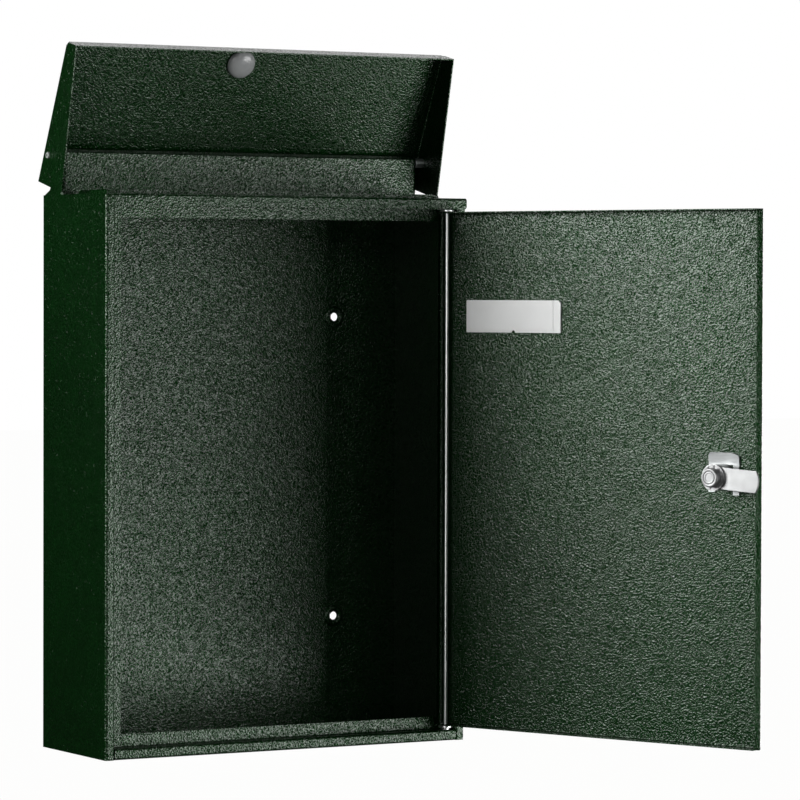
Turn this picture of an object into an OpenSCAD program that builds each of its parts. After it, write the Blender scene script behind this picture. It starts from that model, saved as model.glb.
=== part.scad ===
// Wall mounted mailbox: folded sheet-steel case with an inset tray door,
// a letter slot in its top and a wedge-shaped rain lid over the slot.
// Frame: X to the right, -Y to the front, +Z up. The origin is the centre of
// the four wall screw holes, on the rear face of the back panel.
// Millimetres throughout. The door and the lid are drawn open.

/* [Case] */
// Width across the two side panels
case_w = 295; // [240:1:360]
// Height of the side panels
case_h = 400; // [320:1:480]
// Depth from the wall to the front faces of the stiles
case_d = 104; // [80:1:140]
// Thickness of the steel sheet
sheet = 1; // [0.8:0.1:1.5]
// Centreline radius of the sheet bends
bend_r = 1.3; // [0.8:0.1:3]

/* [Wall holes] */
// Horizontal distance between the wall screw holes
hole_dx = 187; // [120:1:240]
// Vertical distance between the wall screw holes
hole_dz = 226; // [150:1:320]
// Wall screw hole diameter
wall_hole_d = 6.2; // [4:0.1:9]
// Radius of the centreline of the pressed ring round each hole
ring_r = 5.6; // [4.5:0.1:8]
// Height of the pressed ring, from the rear face
ring_h = 2.9; // [1.5:0.1:4]

/* [Door frame] */
// Width of the stile beside the door
stile_w = 7.2; // [5:0.1:14]
// Depth of the rebate that the door lies in
rebate_d = 11.4; // [9:0.1:16]
// Outer side face to the inner edge of the side stop lip
side_lip = 17.2; // [12:0.1:24]
// Height of the sill face under the door
sill_h = 8; // [5:0.5:14]
// Height of the upper edge of the sill stop lip
sill_lip = 17; // [12:0.5:26]
// Drop from the top of the case to the lower edge of the head stop lip
head_lip = 15.8; // [12:0.1:24]

/* [Top] */
// Thickness of the cover sheet
cover_t = 1.2; // [0.8:0.1:2]
// Drop of the front rail below the top of the side panels
rail_drop = 7.1; // [5:0.1:12]
// Width of the letter slot
slot_w = 271; // [230:1:300]
// Wall to the rear edge of the letter slot
slot_rear = 33; // [25:1:50]
// Wall to the front edge of the letter slot
slot_front = 84; // [65:1:95]
// Height of the upturned rim round the slot
rim_h = 4.2; // [2:0.1:8]
// Wall to the front face of the hinge upstand behind the slot
upstand_u = 31.5; // [25:0.5:45]
// Height of the hinge upstand's front face
upstand_h = 32.2; // [20:0.5:40]

/* [Lid] */
// How far the lid stands out past each side panel
lid_over = 8.5; // [5:0.5:14]
// Pivot distance from the wall
pivot_u = 27; // [22:0.5:32]
// Pivot height above the side panels
pivot_v = 29.4; // [24:0.1:36]
// Lid length behind the pivot
lid_back = 22; // [15:0.5:26]
// Lid length in front of the pivot
lid_front = 84.6; // [70:0.1:100]
// Lower edge of the lid below the pivot
lid_down = 26.6; // [20:0.1:28]
// Rear top edge of the lid above the pivot
lid_top_rear = 14.9; // [8:0.1:16]
// Front top edge of the lid below the pivot
lid_top_front = 10.1; // [8:0.1:22]
// Angle that the lid is drawn open
lid_open = 77; // [0:0.5:77]
// Rivet shank diameter
rivet_d = 3.2; // [2.4:0.1:4.8]
// Diameter of the round buffer inside the lid
bumper_d = 21.5; // [12:0.5:30]

/* [Door] */
// Left edge of the closed door, from the left side panel
door_left = 8.7; // [8:0.1:12]
// Lower edge of the door, from the bottom of the case
door_low = 11.2; // [10:0.1:14]
// Height of the door
door_h = 379.9; // [300:0.1:460]
// Depth of the door's edge flanges
door_flange = 9; // [6:0.5:12]
// Hinge rod diameter
rod_d = 3; // [2:0.1:5]
// Hinge rod axis from the right side panel
rod_in = 14.2; // [11:0.1:20]
// Hinge rod axis behind the stile faces
rod_back = 3.4; // [2.5:0.1:6]
// Hinge rod axis to the door's outer face
rod_face = 4.6; // [3.5:0.1:7]
// Hinge rod axis to the door's hinge edge
rod_edge = 2.8; // [2.6:0.1:6]
// Angle that the door is drawn open
door_open = 113; // [0:0.5:113]

/* [Nameplate] */
// Nameplate centre, from the left side panel with the door closed
plate_x = 222.5; // [60:0.5:240]
// Nameplate centre, from the bottom of the case
plate_z = 314.3; // [200:0.1:360]
// Nameplate width
plate_w = 84.5; // [50:0.5:100]
// Nameplate height
plate_h = 23.7; // [14:0.1:34]

/* [Lock] */
// Lock axis, from the left side panel with the door closed
lock_x = 39.6; // [36:0.1:70]
// Lock axis, from the bottom of the case
lock_z = 202.3; // [100:0.1:300]
// Lock barrel diameter
barrel_d = 18.5; // [14:0.5:22]
// Length of the cam from the lock axis to its tip
cam_len = 37.4; // [28:0.1:38]
// Width of the cam
cam_w = 15.5; // [10:0.1:20]
// How far the locked cam hangs below level
cam_tilt = 3.8; // [0:0.1:6]
// Step between the cam's root and its locking end
cam_step = 1.2; // [0:0.1:2]

/* [Hidden] */
$fn = 48;
hw = case_w / 2;
hh = case_h / 2;
fy = -case_d;                       // front faces of the stiles
t = sheet;
hx = hw - rod_in;                   // hinge rod axis
hy = fy + rod_back;
dy = hy - rod_face;                 // closed door's outer face
dx0 = -hw + door_left;              // closed door's free edge
dx1 = hx + rod_edge;                // closed door's hinge edge
dz0 = -hh + door_low;
dz1 = dz0 + door_h;
lx = -hw + lock_x;                  // lock axis, door closed
lz = -hh + lock_z;
px = -hw + plate_x;                 // nameplate centre, door closed
pz = -hh + plate_z;
lid_hw = hw + lid_over;
lid_slope = atan((lid_top_rear + lid_top_front) / (lid_back + lid_front));
cam_y = fy + rebate_d + t + 1.3;    // front face of the cam's locking end, door closed
root_y = cam_y - cam_step;          // front face of the cam's root
cam_t = 1.6;                        // thickness of the cam
green = [0.07, 0.17, 0.08];
steel = [0.74, 0.76, 0.75];

// ---------- folded sheet ----------

function unit(v) = v / norm(v);
function perp(v) = [-v[1], v[0]];
function side_arc(p, a, b, r, th, s, n) =
  // points of one side (s = +1 left, -1 right) of the bend at p, from direction a to b
  let (cr = a[0] * b[1] - a[1] * b[0], sg = cr > 0 ? 1 : -1,
       ang = acos(max(-1, min(1, a * b))), len = r * tan(ang / 2),
       c = p - a * len + perp(a) * sg * r,
       rr = r - sg * s * th / 2,
       a0 = atan2(-perp(a)[1] * sg, -perp(a)[0] * sg))
  [for (i = [0:n]) c + rr * [cos(a0 + sg * ang * i / n), sin(a0 + sg * ang * i / n)]];
function sheet_side(path, r, th, s, n) =
  let (m = len(path) - 1,
       first = unit(path[1] - path[0]), last = unit(path[m] - path[m - 1]))
  concat([path[0] + perp(first) * s * th / 2],
    [for (i = [1:m - 1]) each side_arc(path[i], unit(path[i] - path[i - 1]),
       unit(path[i + 1] - path[i]), r, th, s, n)],
    [path[m] + perp(last) * s * th / 2]);
function reversed(v) = [for (i = [len(v) - 1:-1:0]) v[i]];

// 2D section of a sheet folded along a centreline path
module folded(path, th = t, r = bend_r, n = 4)
  polygon(concat(sheet_side(path, r, th, 1, n), reversed(sheet_side(path, r, th, -1, n))));

// extrude a section drawn in (Y, Z) along X
module along_x(x0, x1) translate([x0, 0, 0]) rotate([90, 0, 90]) linear_extrude(x1 - x0) children();
// extrude a section drawn in (X, Z) along Y
module along_y(y0, y1) translate([0, y1, 0]) rotate([90, 0, 0]) linear_extrude(y1 - y0) children();
module box(a, b) translate(a) cube(b - a);
// quarter-round cut for the edge of a plate, drawn at a corner that points to +X +Y
module corner_cut(r) difference() { square(r + 1); circle(r); }
module corner_cut_flats(r, n = 5) polygon(concat([[r + 1, 0], [r + 1, r + 1], [0, r + 1]],
  [for (i = [0:n]) r * [sin(90 * i / n), cos(90 * i / n)]]));

module open_door() translate([hx, hy, 0]) rotate([0, 0, door_open]) translate([-hx, -hy, 0]) children();
module open_lid() translate([0, -pivot_u, hh + pivot_v]) rotate([-lid_open, 0, 0]) children();

// ---------- case ----------

module wall_ring() rotate([90, 0, 0]) rotate_extrude($fn = 64) intersection() {
  translate([ring_r, 0]) difference() { circle(ring_h); circle(ring_h - t); }
  translate([wall_hole_d / 2, 0]) square([12, 6]);
}

module back_panel() color(green) difference() {
  union() {
    difference() {
      box([-hw + t, -t, -hh], [hw - t, 0, hh]);
      for (sx = [-1, 1], sz = [-1, 1]) translate([sx * hole_dx / 2, 0, sz * hole_dz / 2])
        rotate([90, 0, 0]) translate([0, 0, -1]) cylinder(r = ring_r + ring_h - 0.4, h = t + 2, $fn = 64);
    }
    for (sx = [-1, 1], sz = [-1, 1]) translate([sx * hole_dx / 2, 0, sz * hole_dz / 2]) {
      wall_ring();
      rotate([90, 0, 0]) difference() {
        cylinder(r = ring_r - ring_h + t + 0.3, h = t, $fn = 64);
        translate([0, 0, -1]) cylinder(d = wall_hole_d, h = t + 2, $fn = 64);
      }
    }
  }
  for (sx = [-1, 1], sz = [-1, 1]) translate([sx * hole_dx / 2, 1, sz * hole_dz / 2])
    rotate([90, 0, 0]) cylinder(d = wall_hole_d, h = 8, $fn = 64);
}

// side plate, stile, rebate and stop lip folded from one sheet
module side_section() folded([[-hw + t / 2, 0], [-hw + t / 2, fy + t / 2],
  [-hw + stile_w - t / 2, fy + t / 2], [-hw + stile_w - t / 2, fy + rebate_d + t / 2],
  [-hw + side_lip, fy + rebate_d + t / 2]]);
module side_sheet() difference() {
  translate([0, 0, -hh]) linear_extrude(case_h) side_section();
  // the stop lip ends on the floor
  box([-hw + stile_w, fy + rebate_d - 2, -hh - 1], [-hw + side_lip + 1, fy + rebate_d + t + 1, -hh + t]);
}
module left_side_panel() color(green) side_sheet();
module right_side_panel() color(green) mirror([1, 0, 0]) side_sheet();

// floor, sill face, sill shelf and stop lip
module bottom_panel() color(green) difference() {
  along_x(-hw + t, hw - t) folded([[-t, -hh + t / 2], [fy + t / 2, -hh + t / 2],
    [fy + t / 2, -hh + sill_h - t / 2], [fy + rebate_d + t / 2, -hh + sill_h - t / 2],
    [fy + rebate_d + t / 2, -hh + sill_lip]]);
  for (m = [0, 1]) mirror([m, 0, 0]) {
    box([hw - stile_w - 0.1, fy - 1, -hh - 1], [hw, fy + rebate_d + t + 0.1, -hh + sill_lip + 1]);
    box([hw - side_lip - 0.1, fy + rebate_d - 0.1, -hh + t + 1], [hw, fy + rebate_d + t + 1, -hh + sill_lip + 1]);
    box([hw - stile_w - 1, fy + rebate_d - 1, -hh + t + 1], [hw, fy + rebate_d + 0.5, -hh + sill_lip + 1]);
  }
  translate([hx, hy, -hh + sill_h - 3]) cylinder(d = rod_d + 0.02, h = 4);
}

// Z-shaped head of the door frame, behind the front rail
module door_header() color(green) difference() {
  along_x(-hw + stile_w + 0.1, hw - stile_w - 0.1) folded([[fy + t / 2, hh],
    [fy + t / 2, hh - 5.5], [fy + rebate_d + t / 2, hh - 5.5], [fy + rebate_d + t / 2, hh - head_lip]]);
  for (m = [0, 1]) mirror([m, 0, 0])
    box([hw - side_lip - 0.1, fy + rebate_d - 1.6, hh - head_lip - 1], [hw, fy + rebate_d + t + 1, hh - 3]);
  translate([hx, hy, hh - 7]) cylinder(d = rod_d + 0.02, h = 4);
}

// roof sheet with the letter slot, its upturned rim and the front rail
module top_cover() color(green) {
  zc = hh + cover_t / 2;
  difference() {
    along_x(-hw, hw) folded([[0, zc], [fy - cover_t / 2, zc], [fy - cover_t / 2, hh - rail_drop]], cover_t, 1.4);
    box([-slot_w / 2, -slot_front, hh - 1], [slot_w / 2, -slot_rear, hh + 3]);
    // square inside the front bend, where the case fits
    box([-hw - 1, fy, hh - rail_drop - 1], [hw + 1, 1, hh]);
    for (m = [0, 1]) mirror([m, 0, 0]) {
      translate([hw - 2.4, 0, hh - rail_drop + 2.4]) along_y(fy - 2.5, fy + 0.01) mirror([0, 1]) corner_cut(2.4);
      translate([hw - 1.6, 0, hh + cover_t - 1.6]) along_y(fy - 2.5, fy - 0.6) corner_cut(1.6);
    }
  }
  along_y(-slot_front - t, -slot_front) polygon([[-slot_w / 2 - 1, hh + cover_t], [slot_w / 2 + 1, hh + cover_t],
    [slot_w / 2 - 4, hh + rim_h], [-slot_w / 2 + 4, hh + rim_h]]);
  for (m = [0, 1]) mirror([m, 0, 0]) along_x(slot_w / 2, slot_w / 2 + t)
    polygon([[-slot_front + 0.6, hh + cover_t], [-slot_front + 2.8, hh + rim_h],
      [-slot_rear - 6, hh + rim_h], [-slot_rear - 2.5, hh + cover_t]]);
}

// front wall, end ears, sloped ledge and foot of the raised part that carries the lid
module hinge_upstand() color(green) {
  u = upstand_u - t / 2;
  difference() {
    union() {
      intersection() {
        translate([0, 0, hh + cover_t]) linear_extrude(60)
          folded([[-hw + t / 2, -1], [-hw + t / 2, -u], [hw - t / 2, -u], [hw - t / 2, -1]], t, 2.6, 6);
        along_x(-hw - 1, hw + 1) union() {
          polygon([[-upstand_u - 1, hh + cover_t], [-upstand_u - 1, hh + upstand_h - 1.2],
            [-upstand_u + 1.4, hh + upstand_h - 0.2], [-upstand_u + 5.3, hh + upstand_h + 1.7],
            [-upstand_u + 7.6, hh + upstand_h + 0.6], [-upstand_u + 9.8, hh + upstand_h - 3.3],
            [-12.6, hh + 8], [-10.8, hh + 4.8], [-2, hh + cover_t]]);
        }
      }
      along_x(-hw + 3.2, hw - 3.2) folded([[-20, hh + cover_t + t / 2], [-u, hh + cover_t + t / 2],
        [-u, hh + upstand_h - 0.6], [-upstand_u + 6, hh + upstand_h + 1.45]]);
    }
    along_x(-hw - 1, hw + 1) translate([-pivot_u, hh + pivot_v]) circle(d = rivet_d + 0.1);
  }
}

module hinge_rod() color(steel) translate([hx, hy, -hh + 3]) cylinder(d = rod_d, h = case_h - 6);

module shouldered_washer(h_collar, h_disc) difference() {
  union() {
    cylinder(r = 3.2, h = h_collar);
    translate([0, 0, h_collar]) cylinder(r = 5.2, h = h_disc);
  }
  translate([0, 0, -1]) cylinder(d = rod_d + 0.02, h = 10);
}
module hinge_washers() color(steel) {
  translate([hx, hy, -hh + sill_h]) shouldered_washer(door_low - sill_h - 1.6, 1.3);
  translate([hx, hy, hh - 6]) mirror([0, 0, 1]) shouldered_washer(case_h - 6 - door_low - door_h - 1.6, 1.3);
}

// ---------- lid, in a frame with the pivot at its origin and the lid closed ----------

// side outline, inset by g from the front face; the roof is cut by the front outline
module lid_outline(g) {
  e = g > 0 ? 6 : 0;
  polygon([[lid_back + e, -lid_down - e], [-lid_front + g, -lid_down - e],
    [-lid_front + g, lid_top_rear + 20], [lid_back + e, lid_top_rear + 20]]);
}
// front outline with rounded upper corners, drawn along the slope of the roof
module lid_front_section(g, r) translate([0, -60]) difference() {
  translate([-lid_hw + g, 0]) square([2 * (lid_hw - g), 60 - g]);
  for (m = [0, 1]) mirror([m, 0]) translate([lid_hw - g - r, 60 - g - r]) corner_cut_flats(r);
}
module lid_solid(g, r) intersection() {
  along_x(-lid_hw - 5, lid_hw + 5) lid_outline(g);
  translate([0, -lid_front, -lid_top_front]) rotate([lid_slope, 0, 0])
    translate([0, 150, 0]) rotate([90, 0, 0]) linear_extrude(200) lid_front_section(g, r);
}
module lid() color(green) open_lid() difference() {
  lid_solid(0, 2);
  lid_solid(t, 1);
  // corner reliefs where the front lip meets the side cheeks
  for (m = [0, 1]) mirror([m, 0, 0])
    translate([lid_hw - t - 1.2, -lid_front - 1, -lid_top_front - 3.4]) cube([2.4, 3.2, 3.6]);
  along_x(-lid_hw - 1, lid_hw + 1) circle(d = rivet_d);
}

module lid_rivets() color(steel) open_lid() for (m = [0, 1]) mirror([m, 0, 0]) {
  rotate([0, 90, 0]) difference() {
    union() {
      translate([0, 0, hw - t - 1.3]) cylinder(d = 5, h = 1);
      translate([0, 0, hw - t - 1.3]) cylinder(d = rivet_d, h = lid_over + t + 1.3);
      translate([0, 0, lid_hw]) cylinder(d = 4.6, h = 1.1);
      translate([0, 0, lid_hw + 1.1]) cylinder(d1 = 4.6, d2 = 3.8, h = 0.5);
    }
    translate([0, 0, lid_hw + 0.2]) cylinder(d = 1.9, h = 3);
  }
}
module lid_spacers() color(steel) open_lid() for (m = [0, 1]) mirror([m, 0, 0])
  rotate([0, 90, 0]) translate([0, 0, hw + 0.3]) difference() {
    cylinder(d = 7, h = lid_over - t - 0.3);
    translate([0, 0, -1]) cylinder(d = rivet_d, h = lid_over + 2);
  }

module lid_bumper() color([0.45, 0.46, 0.46]) open_lid()
  translate([-13.2, -lid_front, -lid_top_front]) rotate([lid_slope, 0, 0]) translate([0, 12.1, -t])
    mirror([0, 0, 1]) rotate_extrude($fn = 64)
      polygon(concat([[0, 0], [bumper_d / 2 - 0.4, 0], [bumper_d / 2, 0.4], [bumper_d / 2, 1.2]],
        [for (a = [15:15:75]) [2 + (bumper_d / 2 - 2) * cos(a), 1.2 + 4.5 * sin(a)]], [[2, 5.7], [0, 5.7]]));

// ---------- door, drawn closed and then swung open ----------

module door_solid(g, r, back) intersection() {
  translate([0, 0, dz0 + g]) linear_extrude(door_h - 2 * g) difference() {
    translate([dx0 + g, dy + g]) square([dx1 - dx0 - 2 * g, door_flange - g + back]);
    translate([dx1 - g - r, dy + g + r]) mirror([0, 1]) corner_cut(r);
    translate([dx0 + g + r, dy + g + r]) rotate(180) corner_cut(r);
  }
  along_x(dx0 + g, dx1 - g) difference() {
    translate([dy + g, dz0 + g]) square([door_flange - g + back, door_h - 2 * g]);
    translate([dy + g + r, dz1 - g - r]) mirror([1, 0]) corner_cut(r);
    translate([dy + g + r, dz0 + g + r]) rotate(180) corner_cut(r);
  }
}
module door_panel() color(green) open_door() difference() {
  door_solid(0, 1.8, 0);
  door_solid(t, 0.8, 2);
  // relief slits at the four corners of the tray
  for (x = [dx0, dx1], z = [dz0, dz1]) translate([x, dy + 4, z]) translate([-1.6, 0, -1.6]) cube([3.2, door_flange, 3.2]);
  // hinge rod holes in the upper and lower flanges
  translate([hx, hy, dz0 - 1]) cylinder(d = rod_d + 0.16, h = door_h + 2);
  // nameplate opening
  box([px - plate_w / 2 + 4, dy - 1, pz - plate_h / 2 + 3.5], [px + plate_w / 2 - 4, dy + 2, pz + plate_h / 2 - 3.5]);
  // lock hole with two flats
  translate([lx, dy + 2, lz]) rotate([90, 0, 0]) intersection() {
    cylinder(d = barrel_d + 0.2, h = 4);
    translate([-8.1, -12, 0]) cube([16.2, 24, 4]);
  }
}

module plate_outline(w, h, r) difference() {
  square([w, h], center = true);
  for (a = [0, 1], b = [0, 1]) mirror([a, 0]) mirror([0, b]) translate([w / 2 - r, h / 2 - r]) corner_cut(r);
}
module nameplate_window() color([0.85, 0.88, 0.88, 0.5]) open_door() translate([px, 0, pz]) difference() {
  union() {
    along_y(dy - 2, dy) plate_outline(plate_w, plate_h, 1.5);
    // rim that passes through the door and snaps behind it
    along_y(dy, dy + t) square([plate_w - 8.4, plate_h - 7.4], center = true);
  }
  // pocket for the card
  along_y(dy - 0.8, dy + t + 1) square([plate_w - 11, plate_h - 10], center = true);
}
module nameplate_card() color([0.93, 0.94, 0.93]) open_door() translate([px, 0, pz])
  along_y(dy - 0.8, dy - 0.4) square([plate_w - 11.2, plate_h - 10.2], center = true);
module nameplate_backing() color([0.9, 0.91, 0.91]) open_door() translate([px, 0, pz]) difference() {
  union() {
    along_y(dy + t, dy + t + 1.6) plate_outline(plate_w, plate_h, 1);
    along_y(dy - 0.4, dy + t) square([plate_w - 11.2, plate_h - 10.2], center = true);
  }
  // stepped edges and the finger notch in the lower edge
  along_y(dy + t + 0.8, dy + t + 2) translate([plate_w / 2 - 3, -plate_h]) square([6, 2 * plate_h]);
  along_y(dy + t + 0.8, dy + t + 2) translate([-plate_w / 2 - 3, -plate_h / 2 - 1]) square([plate_w + 6, 2.6]);
  along_y(dy + t - 0.1, dy + t + 2) translate([0, -plate_h / 2]) circle(r = 1.6);
  // narrow grooves beside the steps, the raised field on the free side and its clipped corner
  along_y(dy + t + 0.5, dy + t + 2) translate([plate_w / 2 - 3.4, -plate_h]) square([0.5, 2 * plate_h]);
  along_y(dy + t + 0.5, dy + t + 2) translate([-plate_w / 2 + 5, -plate_h / 2 + 1.2]) square([plate_w - 8.2, 0.5]);
  along_y(dy + t + 1.3, dy + t + 2) translate([-plate_w / 2 - 1, -plate_h]) square([7.4, 2 * plate_h]);
  along_y(dy + t - 0.1, dy + t + 2) translate([-plate_w / 2, plate_h / 2]) rotate(45) square([2.6, 2.6], center = true);
}

// ---------- lock: the axis runs along Y through (lx, lz) ----------

module lock_axis() open_door() translate([lx, 0, lz]) rotate([-90, 0, 0]) children();
// after lock_axis the local Z is the closed door's +Y; the turning pieces share the cam's tilt
module core_axis() lock_axis() rotate(-cam_tilt) children();

module lock_barrel() color(steel) lock_axis() difference() {
  union() {
    translate([0, 0, dy - 3]) cylinder(d1 = 21, d2 = 22.4, h = 1);
    translate([0, 0, dy - 2]) cylinder(d = 22.4, h = 2);
    intersection() {
      translate([0, 0, dy]) cylinder(d = barrel_d, h = root_y - 0.3 - dy);
      union() {
        translate([-8, -12, dy]) cube([16, 24, t + 2]);
        translate([-12, -12, dy + t + 2]) cube([24, 24, 30]);
      }
    }
  }
  translate([0, 0, dy - 4]) cylinder(d = 12.1, h = 30);
  // slots that the retaining clip slides into
  for (m = [0, 1]) mirror([m, 0, 0]) translate([7.5, -12, dy + t]) cube([6, 24, 1.4]);
}
module lock_clip() color(steel) lock_axis() difference() {
  union() {
    translate([-12.7, -10.3, dy + t]) cube([25.4, 23.1, 1.2]);
    // upper end, bent a little away from the door
    translate([-12.7, -10.2, dy + t]) rotate([-7, 0, 0]) translate([0, -7.2, 0]) cube([25.4, 7.2, 1.2]);
  }
  // fork that fits round the barrel
  translate([-7.6, 0, dy]) cube([15.2, 30, 6]);
  translate([-7.6, -8.6, dy]) cube([15.2, 10, 6]);
  intersection() {
    translate([0, 0, dy]) cylinder(d = barrel_d + 0.3, h = 6);
    translate([-7.6, -12, dy]) cube([15.2, 12, 6]);
  }
  // the left leg is the shorter one
  translate([6, 10.8, dy]) cube([10, 10, 6]);
  // clipped upper corners
  translate([-12.7, -17.5, dy]) rotate(-20) cube([16, 4.6, 12], center = true);
  translate([12.7, -17.5, dy]) rotate(55) cube([8, 2.9, 12], center = true);
}
module lock_plug() color(steel) core_axis() difference() {
  union() {
    translate([0, 0, dy - 3.2]) cylinder(d = 12, h = root_y - dy + 3.2);
    // square that drives the cam, then the threaded end under the nut
    translate([-3.5, -3.5, root_y]) cube([7, 7, cam_t]);
    translate([0, 0, root_y + cam_t]) cylinder(d = 6, h = 6.2);
  }
  translate([-3.2, -0.7, dy - 4]) cube([6.4, 1.4, 9]);
}
// cam section along its length: the root under the nut, the step, and the locking end
module cam_section() polygon([[12, root_y], [-9.2, root_y], [-14.3, cam_y], [-cam_len, cam_y],
  [-cam_len, cam_y + cam_t], [-14.5, cam_y + cam_t], [-9.4, root_y + cam_t], [12, root_y + cam_t]]);
module lock_cam() color(steel) core_axis() difference() {
  intersection() {
    translate([0, 12, 0]) rotate([90, 0, 0]) linear_extrude(24) cam_section();
    translate([0, 0, root_y - 3]) linear_extrude(12) union() {
      circle(d = 17.5);
      translate([-cam_len + 8, -cam_w / 2]) square([cam_len - 8, cam_w]);
      // rounded tip
      intersection() {
        translate([-cam_len + 14, 0]) circle(r = 14);
        translate([-cam_len, -cam_w / 2]) square([20, cam_w]);
      }
    }
  }
  translate([-3.5, -3.5, root_y - 1]) cube([7, 7, 4]);
}
module lock_cam_washer() color(steel) core_axis() translate([0, 0, root_y + cam_t]) difference() {
  cylinder(d = 18.7, h = 1.4);
  translate([0, 0, -1]) cylinder(d = 6.2, h = 4);
  for (a = [0:36:324]) rotate(a + 12) translate([7.6, 0, 0.6]) cylinder(r = 0.85, h = 3, $fn = 16);
}
module lock_cam_nut() color(steel) core_axis() translate([0, 0, root_y + cam_t + 1.4]) difference() {
  union() {
    cylinder(d = 13.7, h = 4.3);
    translate([0, 0, 4.3]) cylinder(d1 = 13.7, d2 = 12.3, h = 0.8);
  }
  translate([0, 0, -1]) cylinder(d = 6, h = 8);
  translate([0, 0, 4.6]) difference() { cylinder(d = 9.6, h = 3); translate([0, 0, -1]) cylinder(d = 8.6, h = 6); }
}

back_panel();
left_side_panel();
right_side_panel();
bottom_panel();
top_cover();
door_header();
hinge_upstand();
lid();
lid_rivets();
lid_spacers();
lid_bumper();
door_panel();
hinge_rod();
hinge_washers();
nameplate_window();
nameplate_card();
nameplate_backing();
lock_barrel();
lock_clip();
lock_plug();
lock_cam();
lock_cam_washer();
lock_cam_nut();
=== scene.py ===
import math
import bpy
from mathutils import Matrix, Vector

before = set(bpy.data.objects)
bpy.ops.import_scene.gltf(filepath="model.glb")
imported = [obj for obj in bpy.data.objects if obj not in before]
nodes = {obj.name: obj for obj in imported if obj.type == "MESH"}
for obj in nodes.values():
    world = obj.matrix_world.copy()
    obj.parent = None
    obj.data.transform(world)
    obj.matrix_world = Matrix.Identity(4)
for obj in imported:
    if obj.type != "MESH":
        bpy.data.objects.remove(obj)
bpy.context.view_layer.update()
scene = bpy.context.scene
scene.view_settings.view_transform = "Standard"

# Lengths are in metres and angles in degrees, unless a name says otherwise.

CAMERA_AT = (-1.4112, -2.7056, 0.1311)
YAW, PITCH, ROLL = 30.014, 1.495, 0.179
LENS_MM, SENSOR_MM = 184.31, 36.0

FLOOR_Z = -1.45             # the box hangs at chest height
FLOOR_HALF = 40             # half the floor's side

# What the camera sees of the backdrop and the floor, and what lights the object.
BACKDROP_SEEN = (1, 1, 1, 1)
SKY_FILL, SKY_STRENGTH = (0.95, 1.0, 0.97, 1), 0.015
FLOOR_SEEN = (0.985, 0.985, 0.98, 1)
FLOOR_MATT = (0.3, 0.3, 0.3, 1)

# name, place, point it faces, width and height, radiance
SOFTBOXES = (
    ("left_box", (-1.6, 0.24, 0.54), (0.1, -0.2, 0.2), (0.8, 1.05), 12.5),
    ("right_box", (1.2, -1.48, -0.22), (0, -0.1, 0), (1.0, 1.1), 7.5),
    ("front_left", (-2.2, -2.3, 0.35), (0, 0, 0), (1.5, 1.5), 2.6),
    ("front_fill", (0.1, -3.2, 0.9), (0, 0, 0), (1.4, 1.2), 1.4),
    ("back_right", (1.1, 1.75, 1.0), (0, 0, 0.1), (1.3, 1.0), 1.1),
    ("right_side", (1.9, 1.0, -0.1), (0.1, 0, 0), (1.0, 1.2), 5.0),
    ("top_box", (0.3, 0.1, 2.3), (0, -0.05, 0), (1.3, 0.8), 4.0),
)

# The paint: texture scales, depth of its relief, and its two greens.
GRAIN_SCALE, PIT_SCALE, PIT_SHARE = 720, 860, 0.7
RELIEF_DEPTH = 0.00036
DARK_GREEN, LIGHT_GREEN = (0.0005, 0.013, 0.001), (0.0012, 0.03, 0.0026)
FINE_DEPTH = 0.0001         # relief of the metal and the plastics

# Widths of the rounded edges.
SHEET_EDGE, FITTING_EDGE, CARD_EDGE = 0.0003, 0.0002, 0.00005
EDGE_ANGLE, EDGE_SEGMENTS = 35, 3
WELD_GAP = 2e-6


# ---------- camera and studio ----------

def aim_camera():
    cam = bpy.data.objects.new("camera", bpy.data.cameras.new("camera"))
    scene.collection.objects.link(cam)
    cam.data.lens, cam.data.sensor_width = LENS_MM, SENSOR_MM
    yaw, pitch, roll = math.radians(YAW), math.radians(PITCH), math.radians(ROLL)
    forward = Vector((math.sin(yaw) * math.cos(pitch),
                      math.cos(yaw) * math.cos(pitch),
                      -math.sin(pitch)))
    level = Vector((math.cos(yaw), -math.sin(yaw), 0))
    upright = level.cross(forward)
    right = math.cos(roll) * level + math.sin(roll) * upright
    up = -math.sin(roll) * level + math.cos(roll) * upright
    placed = Matrix((right, up, -forward)).transposed().to_4x4()
    placed.translation = CAMERA_AT
    cam.matrix_world = placed
    scene.camera = cam


def softbox(name, at, towards, size, radiance):
    """A soft rectangular light, which lights the object but isn't seen."""
    data = bpy.data.lights.new(name, "AREA")
    data.shape, data.size, data.size_y = "RECTANGLE", size[0], size[1]
    data.energy = math.pi * size[0] * size[1] * radiance
    light = bpy.data.objects.new(name, data)
    scene.collection.objects.link(light)
    light.location = at
    light.visible_camera = False
    light.rotation_mode = "QUATERNION"
    aim = Vector(towards) - Vector(at)
    light.rotation_quaternion = aim.to_track_quat("-Z", "Y")


def seen_as(tree, out, seen, other):
    """The camera sees one shader, and every other ray meets the other."""
    pick = tree.nodes.new("ShaderNodeMixShader")
    path = tree.nodes.new("ShaderNodeLightPath")
    tree.links.new(path.outputs["Is Camera Ray"], pick.inputs[0])
    tree.links.new(other.outputs[0], pick.inputs[1])
    tree.links.new(seen.outputs[0], pick.inputs[2])
    tree.links.new(pick.outputs[0], out.inputs[0])


def backdrop():
    world = bpy.data.worlds.new("studio")
    scene.world = world
    world.use_nodes = True
    tree = world.node_tree
    tree.nodes.clear()
    out = tree.nodes.new("ShaderNodeOutputWorld")
    seen = tree.nodes.new("ShaderNodeBackground")
    seen.inputs["Color"].default_value = BACKDROP_SEEN
    fill = tree.nodes.new("ShaderNodeBackground")
    fill.inputs["Color"].default_value = SKY_FILL
    fill.inputs["Strength"].default_value = SKY_STRENGTH
    seen_as(tree, out, seen, fill)


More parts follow.
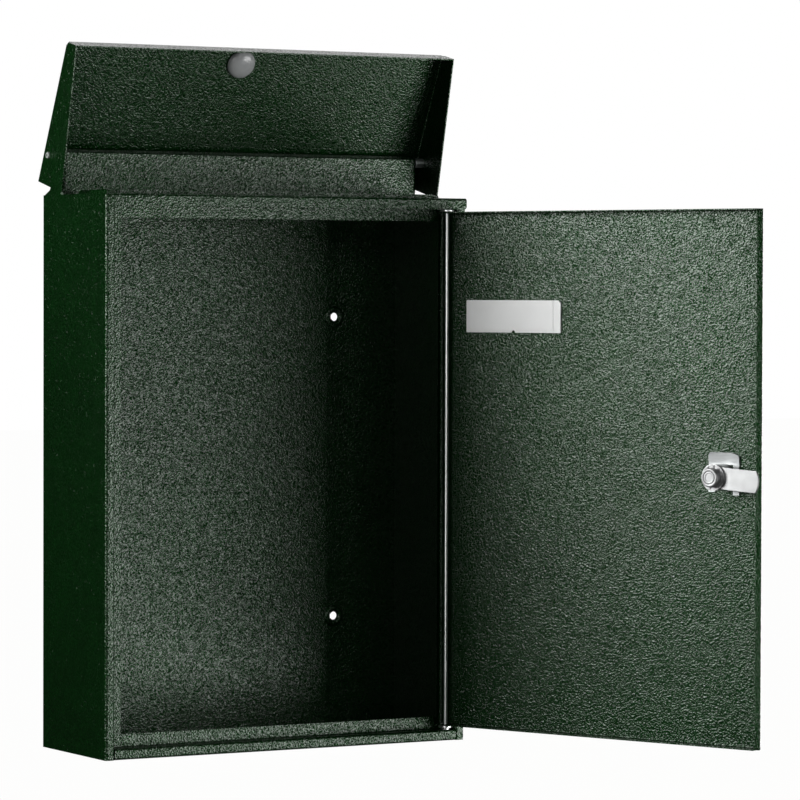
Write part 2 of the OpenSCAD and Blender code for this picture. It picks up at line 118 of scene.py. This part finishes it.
def ground():
    floor = bpy.data.objects.new("floor", bpy.data.meshes.new("floor"))
    corners = [(x * FLOOR_HALF, y * FLOOR_HALF, FLOOR_Z)
               for x, y in ((-1, -1), (1, -1), (1, 1), (-1, 1))]
    floor.data.from_pydata(corners, [], [(0, 1, 2, 3)])
    scene.collection.objects.link(floor)
    material = bpy.data.materials.new("floor")
    material.use_nodes = True
    tree = material.node_tree
    tree.nodes.clear()
    out = tree.nodes.new("ShaderNodeOutputMaterial")
    pale = tree.nodes.new("ShaderNodeEmission")
    pale.inputs["Color"].default_value = FLOOR_SEEN
    matt = tree.nodes.new("ShaderNodeBsdfDiffuse")
    matt.inputs["Color"].default_value = FLOOR_MATT
    seen_as(tree, out, pale, matt)
    floor.data.materials.append(material)


# ---------- materials ----------

class Nodes:
    """Short helper to build a material's node tree."""
    def __init__(self, name):
        self.material = bpy.data.materials.new(name)
        self.material.use_nodes = True
        self.tree = self.material.node_tree
        self.shader = self.tree.nodes["Principled BSDF"]
        self.place = self.add("TexCoord").outputs["Object"]

    def feed(self, socket, value):
        """Links a socket to another one, or gives it a constant."""
        if isinstance(value, bpy.types.NodeSocket):
            self.tree.links.new(value, socket)
        else:
            socket.default_value = value

    def add(self, kind, props=None, **inputs):
        node = self.tree.nodes.new("ShaderNode" + kind)
        for key, value in (props or {}).items():
            setattr(node, key, value)
        for key, value in inputs.items():
            self.feed(node.inputs[key.replace("_", " ")], value)
        return node

    def noise(self, scale, detail=2.0, rough=0.5, distort=0.0, place=None):
        return self.add("TexNoise", Vector=place or self.place, Scale=scale,
                        Detail=detail, Roughness=rough,
                        Distortion=distort).outputs["Fac"]

    def cells(self, scale, smooth):
        return self.add("TexVoronoi", {"feature": "SMOOTH_F1"},
                        Vector=self.place, Scale=scale,
                        Smoothness=smooth).outputs["Distance"]

    def ramp(self, fac, stops):
        """A ramp between positions, each with a grey level or a colour."""
        node = self.add("ValToRGB", Fac=fac)
        for stop, (at, value) in zip(node.color_ramp.elements, stops):
            stop.position = at
            grey = isinstance(value, (int, float))
            stop.color = (value, value, value, 1) if grey else (*value, 1)
        return node.outputs["Color"]

    def math(self, operation, first, second):
        node = self.add("Math", {"operation": operation})
        self.feed(node.inputs[0], first)
        self.feed(node.inputs[1], second)
        return node.outputs[0]

    def bump(self, height, strength, distance):
        return self.add("Bump", Height=height, Strength=strength,
                        Distance=distance).outputs["Normal"]

    def set(self, **inputs):
        for key, value in inputs.items():
            self.feed(self.shader.inputs[key.replace("_", " ")], value)
        return self.material


def green_paint():
    """Hammered green: a dark metallic base, glossy where its relief is high."""
    n = Nodes("hammered_green_paint")
    grain = n.noise(GRAIN_SCALE, 1.5, 0.5, 0.2)
    pits = n.cells(PIT_SCALE, 0.3)
    relief = n.math("ADD", grain, n.math("MULTIPLY", pits, PIT_SHARE))
    clouds = n.noise(7)
    mottle = n.math("ADD", n.math("MULTIPLY", grain, 0.8),
                    n.math("MULTIPLY", clouds, 0.2))
    colour = n.ramp(mottle, [(0.38, DARK_GREEN), (0.62, LIGHT_GREEN)])
    rough = n.ramp(n.noise(90, 3.0), [(0.3, 0.42), (0.7, 0.5)])
    gloss = n.ramp(relief, [(0.6, 0.0), (0.85, 1.0)])
    normal = n.bump(relief, 1.0, RELIEF_DEPTH)
    return n.set(Base_Color=colour, Roughness=rough, Metallic=0.86,
                 Specular_IOR_Level=0.0, Coat_Weight=gloss, Coat_IOR=1.48,
                 Coat_Roughness=0.16, Coat_Normal=normal, Normal=normal)


def shades(n, haze, base, low):
    """The base colour, a little darker where the haze is thin."""
    dark = tuple(c * low for c in base)
    return n.ramp(haze, [(0.3, dark), (0.7, base)])


def zinc(name, base, rough, streak):
    """Bright metal, with faint lines stretched by the streak's scales."""
    n = Nodes(name)
    flow = n.add("Mapping", Vector=n.place, Scale=streak).outputs[0]
    lines = n.noise(60, 4.0, 0.6, place=flow)
    colour = shades(n, n.noise(35, 3.0), base, 0.9)
    dull = n.ramp(lines, [(0.25, rough * 0.75), (0.75, rough * 1.25)])
    return n.set(Base_Color=colour, Metallic=1.0, Roughness=dull,
                 Normal=n.bump(lines, 0.12, FINE_DEPTH))


def plastic(name, base, rough, transmission=0.0, metallic=0.0):
    n = Nodes(name)
    colour = shades(n, n.noise(60, 3.0), base, 0.95)
    dull = n.ramp(n.noise(240, 3.0), [(0.3, rough * 0.85), (0.7, rough * 1.15)])
    return n.set(Base_Color=colour, Roughness=dull, Metallic=metallic,
                 Transmission_Weight=transmission,
                 Normal=n.bump(n.noise(380), 0.06, FINE_DEPTH))


def soften(name, material, width):
    """Gives a node its material, and rounds its edges by a small width."""
    node = nodes[name]
    for slot in node.material_slots:
        slot.material = material
    weld = node.modifiers.new("weld", "WELD")
    weld.merge_threshold = WELD_GAP
    edges = node.modifiers.new("edges", "BEVEL")
    edges.width, edges.segments = width, EDGE_SEGMENTS
    edges.limit_method, edges.angle_limit = "ANGLE", math.radians(EDGE_ANGLE)
    edges.use_clamp_overlap = True
    # large flat faces keep their own normals, so that they shade flat
    faces = node.modifiers.new("faces", "WEIGHTED_NORMAL")
    faces.mode, faces.weight, faces.keep_sharp = "FACE_AREA", 100, False


# ---------- the scene ----------

aim_camera()
backdrop()
ground()
for box in SOFTBOXES:
    softbox(*box)

paint = green_paint()
zinc_plate = zinc("zinc_plate", (0.5, 0.52, 0.52), 0.4, (1, 1, 6))
wire = zinc("drawn_wire", (0.8, 0.82, 0.8), 0.3, (8, 8, 0.3))
chrome = zinc("satin_chrome", (0.34, 0.345, 0.345), 0.4, (2, 2, 2))
clear = plastic("clear_plastic", (0.86, 0.88, 0.88), 0.12, transmission=0.6)
milky = plastic("milky_plastic", (0.9, 0.91, 0.9), 0.35)
card = plastic("card", (0.78, 0.78, 0.76), 0.8)
rubber = plastic("grey_rubber", (0.3, 0.31, 0.31), 0.22)
dull_zinc = plastic("dull_zinc", (0.42, 0.46, 0.43), 0.35, metallic=0.35)

for material, width, names in (
        (paint, SHEET_EDGE, (
            "back_panel", "left_side_panel", "right_side_panel",
            "bottom_panel", "top_cover", "door_header", "hinge_upstand",
            "lid", "door_panel")),
        (dull_zinc, FITTING_EDGE, ("lid_rivets",)),
        (zinc_plate, FITTING_EDGE, ("lid_spacers", "lock_clip")),
        (wire, FITTING_EDGE, ("hinge_rod", "hinge_washers")),
        (clear, FITTING_EDGE, ("nameplate_window",)),
        (card, CARD_EDGE, ("nameplate_card",)),
        (milky, FITTING_EDGE, ("nameplate_backing",)),
        (chrome, FITTING_EDGE, (
            "lock_barrel", "lock_plug", "lock_cam", "lock_cam_washer",
            "lock_cam_nut")),
        (rubber, FITTING_EDGE, ("lid_bumper",))):
    for name in names:
        soften(name, material, width)
